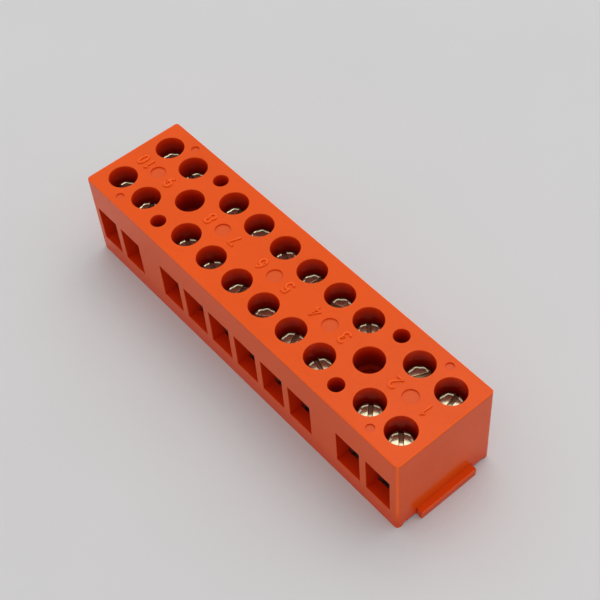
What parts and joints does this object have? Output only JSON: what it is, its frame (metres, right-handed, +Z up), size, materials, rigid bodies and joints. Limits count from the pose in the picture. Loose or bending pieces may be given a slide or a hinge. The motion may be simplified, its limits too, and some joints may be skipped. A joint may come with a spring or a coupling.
{
  "type": "barrier terminal strip",
  "caption": "Orange moulded screw terminal strip in two rows, with a screw well and a side wire entry for each clamp and counterbored fixing holes.",
  "frame": {"origin": "middle of the mounting face, at the level of the feet of the side walls", "axes": "+Z up out of the screw wells, +X along the strip towards pole 1 and the base plate tab, +Y towards the far row of clamps"},
  "size_m": [0.1184, 0.0294, 0.0266],
  "materials": {
    "orange_moulding": "semi-matt moulded, faces lightly polished",
    "orange_plate": "semi-matt moulded",
    "bar_brass": "stamped strip, slightly dulled",
    "screw_steel": "yellowish zinc plating",
    "yoke_steel": "dull zinc plating"
  },
  "bodies": {
    "strip": {"housing": "orange_moulding", "base_plate": "orange_plate", "current_bar_01": "bar_brass", "current_bar_02": "bar_brass", "current_bar_03": "bar_brass", "current_bar_04": "bar_brass", "current_bar_05": "bar_brass", "current_bar_06": "bar_brass", "current_bar_07": "bar_brass", "current_bar_08": "bar_brass", "current_bar_09": "bar_brass", "current_bar_10": "bar_brass"},
    "screw_far_01": {"screw_far_01": "screw_steel"},
    "yoke_far_01": {"yoke_far_01": "yoke_steel"},
    "screw_near_01": {"screw_near_01": "screw_steel"},
    "yoke_near_01": {"yoke_near_01": "yoke_steel"},
    "screw_far_02": {"screw_far_02": "screw_steel"},
    "yoke_far_02": {"yoke_far_02": "yoke_steel"},
    "screw_near_02": {"screw_near_02": "screw_steel"},
    "yoke_near_02": {"yoke_near_02": "yoke_steel"},
    "screw_far_03": {"screw_far_03": "screw_steel"},
    "yoke_far_03": {"yoke_far_03": "yoke_steel"},
    "screw_near_03": {"screw_near_03": "screw_steel"},
    "yoke_near_03": {"yoke_near_03": "yoke_steel"},
    "screw_far_04": {"screw_far_04": "screw_steel"},
    "yoke_far_04": {"yoke_far_04": "yoke_steel"},
    "screw_near_04": {"screw_near_04": "screw_steel"},
    "yoke_near_04": {"yoke_near_04": "yoke_steel"},
    "screw_far_05": {"screw_far_05": "screw_steel"},
    "yoke_far_05": {"yoke_far_05": "yoke_steel"},
    "screw_near_05": {"screw_near_05": "screw_steel"},
    "yoke_near_05": {"yoke_near_05": "yoke_steel"},
    "screw_far_06": {"screw_far_06": "screw_steel"},
    "yoke_far_06": {"yoke_far_06": "yoke_steel"},
    "screw_near_06": {"screw_near_06": "screw_steel"},
    "yoke_near_06": {"yoke_near_06": "yoke_steel"},
    "screw_far_07": {"screw_far_07": "screw_steel"},
    "yoke_far_07": {"yoke_far_07": "yoke_steel"},
    "screw_near_07": {"screw_near_07": "screw_steel"},
    "yoke_near_07": {"yoke_near_07": "yoke_steel"},
    "screw_far_08": {"screw_far_08": "screw_steel"},
    "yoke_far_08": {"yoke_far_08": "yoke_steel"},
    "screw_near_08": {"screw_near_08": "screw_steel"},
    "yoke_near_08": {"yoke_near_08": "yoke_steel"},
    "screw_far_09": {"screw_far_09": "screw_steel"},
    "yoke_far_09": {"yoke_far_09": "yoke_steel"},
    "screw_near_09": {"screw_near_09": "screw_steel"},
    "yoke_near_09": {"yoke_near_09": "yoke_steel"},
    "screw_far_10": {"screw_far_10": "screw_steel"},
    "yoke_far_10": {"yoke_far_10": "yoke_steel"},
    "screw_near_10": {"screw_near_10": "screw_steel"},
    "yoke_near_10": {"yoke_near_10": "yoke_steel"}
  },
  "joints": [
    {"name": "screw_far_01_turn", "type": "hinge", "parent": "strip", "child": "screw_far_01", "pos_m": [0.0519, 0.0075, 0.02], "axis": [0, 0, 1], "range_deg": [-2640, 0]},
    {"name": "yoke_far_01_rise", "type": "slide", "parent": "strip", "child": "yoke_far_01", "axis": [0, 0, 1], "range_m": [0, 0.0044]},
    {"name": "screw_near_01_turn", "type": "hinge", "parent": "strip", "child": "screw_near_01", "pos_m": [0.0519, -0.0075, 0.02], "axis": [0, 0, 1], "range_deg": [-2640, 0]},
    {"name": "yoke_near_01_rise", "type": "slide", "parent": "strip", "child": "yoke_near_01", "axis": [0, 0, 1], "range_m": [0, 0.0044]},
    {"name": "screw_far_02_turn", "type": "hinge", "parent": "strip", "child": "screw_far_02", "pos_m": [0.0419, 0.0075, 0.02], "axis": [0, 0, 1], "range_deg": [-2640, 0]},
    {"name": "yoke_far_02_rise", "type": "slide", "parent": "strip", "child": "yoke_far_02", "axis": [0, 0, 1], "range_m": [0, 0.0044]},
    {"name": "screw_near_02_turn", "type": "hinge", "parent": "strip", "child": "screw_near_02", "pos_m": [0.0419, -0.0075, 0.02], "axis": [0, 0, 1], "range_deg": [-2640, 0]},
    {"name": "yoke_near_02_rise", "type": "slide", "parent": "strip", "child": "yoke_near_02", "axis": [0, 0, 1], "range_m": [0, 0.0044]},
    {"name": "screw_far_03_turn", "type": "hinge", "parent": "strip", "child": "screw_far_03", "pos_m": [0.025, 0.0075, 0.02], "axis": [0, 0, 1], "range_deg": [-2640, 0]},
    {"name": "yoke_far_03_rise", "type": "slide", "parent": "strip", "child": "yoke_far_03", "axis": [0, 0, 1], "range_m": [0, 0.0044]},
    {"name": "screw_near_03_turn", "type": "hinge", "parent": "strip", "child": "screw_near_03", "pos_m": [0.025, -0.0075, 0.02], "axis": [0, 0, 1], "range_deg": [-2640, 0]},
    {"name": "yoke_near_03_rise", "type": "slide", "parent": "strip", "child": "yoke_near_03", "axis": [0, 0, 1], "range_m": [0, 0.0044]},
    {"name": "screw_far_04_turn", "type": "hinge", "parent": "strip", "child": "screw_far_04", "pos_m": [0.015, 0.0075, 0.02], "axis": [0, 0, 1], "range_deg": [-2640, 0]},
    {"name": "yoke_far_04_rise", "type": "slide", "parent": "strip", "child": "yoke_far_04", "axis": [0, 0, 1], "range_m": [0, 0.0044]},
    {"name": "screw_near_04_turn", "type": "hinge", "parent": "strip", "child": "screw_near_04", "pos_m": [0.015, -0.0075, 0.02], "axis": [0, 0, 1], "range_deg": [-2640, 0]},
    {"name": "yoke_near_04_rise", "type": "slide", "parent": "strip", "child": "yoke_near_04", "axis": [0, 0, 1], "range_m": [0, 0.0044]},
    {"name": "screw_far_05_turn", "type": "hinge", "parent": "strip", "child": "screw_far_05", "pos_m": [0.005, 0.0075, 0.02], "axis": [0, 0, 1], "range_deg": [-2640, 0]},
    {"name": "yoke_far_05_rise", "type": "slide", "parent": "strip", "child": "yoke_far_05", "axis": [0, 0, 1], "range_m": [0, 0.0044]},
    {"name": "screw_near_05_turn", "type": "hinge", "parent": "strip", "child": "screw_near_05", "pos_m": [0.005, -0.0075, 0.02], "axis": [0, 0, 1], "range_deg": [-2640, 0]},
    {"name": "yoke_near_05_rise", "type": "slide", "parent": "strip", "child": "yoke_near_05", "axis": [0, 0, 1], "range_m": [0, 0.0044]},
    {"name": "screw_far_06_turn", "type": "hinge", "parent": "strip", "child": "screw_far_06", "pos_m": [-0.005, 0.0075, 0.02], "axis": [0, 0, 1], "range_deg": [-2640, 0]},
    {"name": "yoke_far_06_rise", "type": "slide", "parent": "strip", "child": "yoke_far_06", "axis": [0, 0, 1], "range_m": [0, 0.0044]},
    {"name": "screw_near_06_turn", "type": "hinge", "parent": "strip", "child": "screw_near_06", "pos_m": [-0.005, -0.0075, 0.02], "axis": [0, 0, 1], "range_deg": [-2640, 0]},
    {"name": "yoke_near_06_rise", "type": "slide", "parent": "strip", "child": "yoke_near_06", "axis": [0, 0, 1], "range_m": [0, 0.0044]},
    {"name": "screw_far_07_turn", "type": "hinge", "parent": "strip", "child": "screw_far_07", "pos_m": [-0.015, 0.0075, 0.02], "axis": [0, 0, 1], "range_deg": [-2640, 0]},
    {"name": "yoke_far_07_rise", "type": "slide", "parent": "strip", "child": "yoke_far_07", "axis": [0, 0, 1], "range_m": [0, 0.0044]},
    {"name": "screw_near_07_turn", "type": "hinge", "parent": "strip", "child": "screw_near_07", "pos_m": [-0.015, -0.0075, 0.02], "axis": [0, 0, 1], "range_deg": [-2640, 0]},
    {"name": "yoke_near_07_rise", "type": "slide", "parent": "strip", "child": "yoke_near_07", "axis": [0, 0, 1], "range_m": [0, 0.0044]},
    {"name": "screw_far_08_turn", "type": "hinge", "parent": "strip", "child": "screw_far_08", "pos_m": [-0.025, 0.0075, 0.02], "axis": [0, 0, 1], "range_deg": [-2640, 0]},
    {"name": "yoke_far_08_rise", "type": "slide", "parent": "strip", "child": "yoke_far_08", "axis": [0, 0, 1], "range_m": [0, 0.0044]},
    {"name": "screw_near_08_turn", "type": "hinge", "parent": "strip", "child": "screw_near_08", "pos_m": [-0.025, -0.0075, 0.02], "axis": [0, 0, 1], "range_deg": [-2640, 0]},
    {"name": "yoke_near_08_rise", "type": "slide", "parent": "strip", "child": "yoke_near_08", "axis": [0, 0, 1], "range_m": [0, 0.0044]},
    {"name": "screw_far_09_turn", "type": "hinge", "parent": "strip", "child": "screw_far_09", "pos_m": [-0.0419, 0.0075, 0.02], "axis": [0, 0, 1], "range_deg": [-2640, 0]},
    {"name": "yoke_far_09_rise", "type": "slide", "parent": "strip", "child": "yoke_far_09", "axis": [0, 0, 1], "range_m": [0, 0.0044]},
    {"name": "screw_near_09_turn", "type": "hinge", "parent": "strip", "child": "screw_near_09", "pos_m": [-0.0419, -0.0075, 0.02], "axis": [0, 0, 1], "range_deg": [-2640, 0]},
    {"name": "yoke_near_09_rise", "type": "slide", "parent": "strip", "child": "yoke_near_09", "axis": [0, 0, 1], "range_m": [0, 0.0044]},
    {"name": "screw_far_10_turn", "type": "hinge", "parent": "strip", "child": "screw_far_10", "pos_m": [-0.0519, 0.0075, 0.02], "axis": [0, 0, 1], "range_deg": [-2640, 0]},
    {"name": "yoke_far_10_rise", "type": "slide", "parent": "strip", "child": "yoke_far_10", "axis": [0, 0, 1], "range_m": [0, 0.0044]},
    {"name": "screw_near_10_turn", "type": "hinge", "parent": "strip", "child": "screw_near_10", "pos_m": [-0.0519, -0.0075, 0.02], "axis": [0, 0, 1], "range_deg": [-2640, 0]},
    {"name": "yoke_near_10_rise", "type": "slide", "parent": "strip", "child": "yoke_near_10", "axis": [0, 0, 1], "range_m": [0, 0.0044]}
  ],
  "couplings": [
    {"joint": "screw_far_01_turn", "follows": "yoke_far_01_rise", "rad_per_m": -10472},
    {"joint": "screw_near_01_turn", "follows": "yoke_near_01_rise", "rad_per_m": -10472},
    {"joint": "screw_far_02_turn", "follows": "yoke_far_02_rise", "rad_per_m": -10472},
    {"joint": "screw_near_02_turn", "follows": "yoke_near_02_rise", "rad_per_m": -10472},
    {"joint": "screw_far_03_turn", "follows": "yoke_far_03_rise", "rad_per_m": -10472},
    {"joint": "screw_near_03_turn", "follows": "yoke_near_03_rise", "rad_per_m": -10472},
    {"joint": "screw_far_04_turn", "follows": "yoke_far_04_rise", "rad_per_m": -10472},
    {"joint": "screw_near_04_turn", "follows": "yoke_near_04_rise", "rad_per_m": -10472},
    {"joint": "screw_far_05_turn", "follows": "yoke_far_05_rise", "rad_per_m": -10472},
    {"joint": "screw_near_05_turn", "follows": "yoke_near_05_rise", "rad_per_m": -10472},
    {"joint": "screw_far_06_turn", "follows": "yoke_far_06_rise", "rad_per_m": -10472},
    {"joint": "screw_near_06_turn", "follows": "yoke_near_06_rise", "rad_per_m": -10472},
    {"joint": "screw_far_07_turn", "follows": "yoke_far_07_rise", "rad_per_m": -10472},
    {"joint": "screw_near_07_turn", "follows": "yoke_near_07_rise", "rad_per_m": -10472},
    {"joint": "screw_far_08_turn", "follows": "yoke_far_08_rise", "rad_per_m": -10472},
    {"joint": "screw_near_08_turn", "follows": "yoke_near_08_rise", "rad_per_m": -10472},
    {"joint": "screw_far_09_turn", "follows": "yoke_far_09_rise", "rad_per_m": -10472},
    {"joint": "screw_near_09_turn", "follows": "yoke_near_09_rise", "rad_per_m": -10472},
    {"joint": "screw_far_10_turn", "follows": "yoke_far_10_rise", "rad_per_m": -10472},
    {"joint": "screw_near_10_turn", "follows": "yoke_near_10_rise", "rad_per_m": -10472}
  ]
}
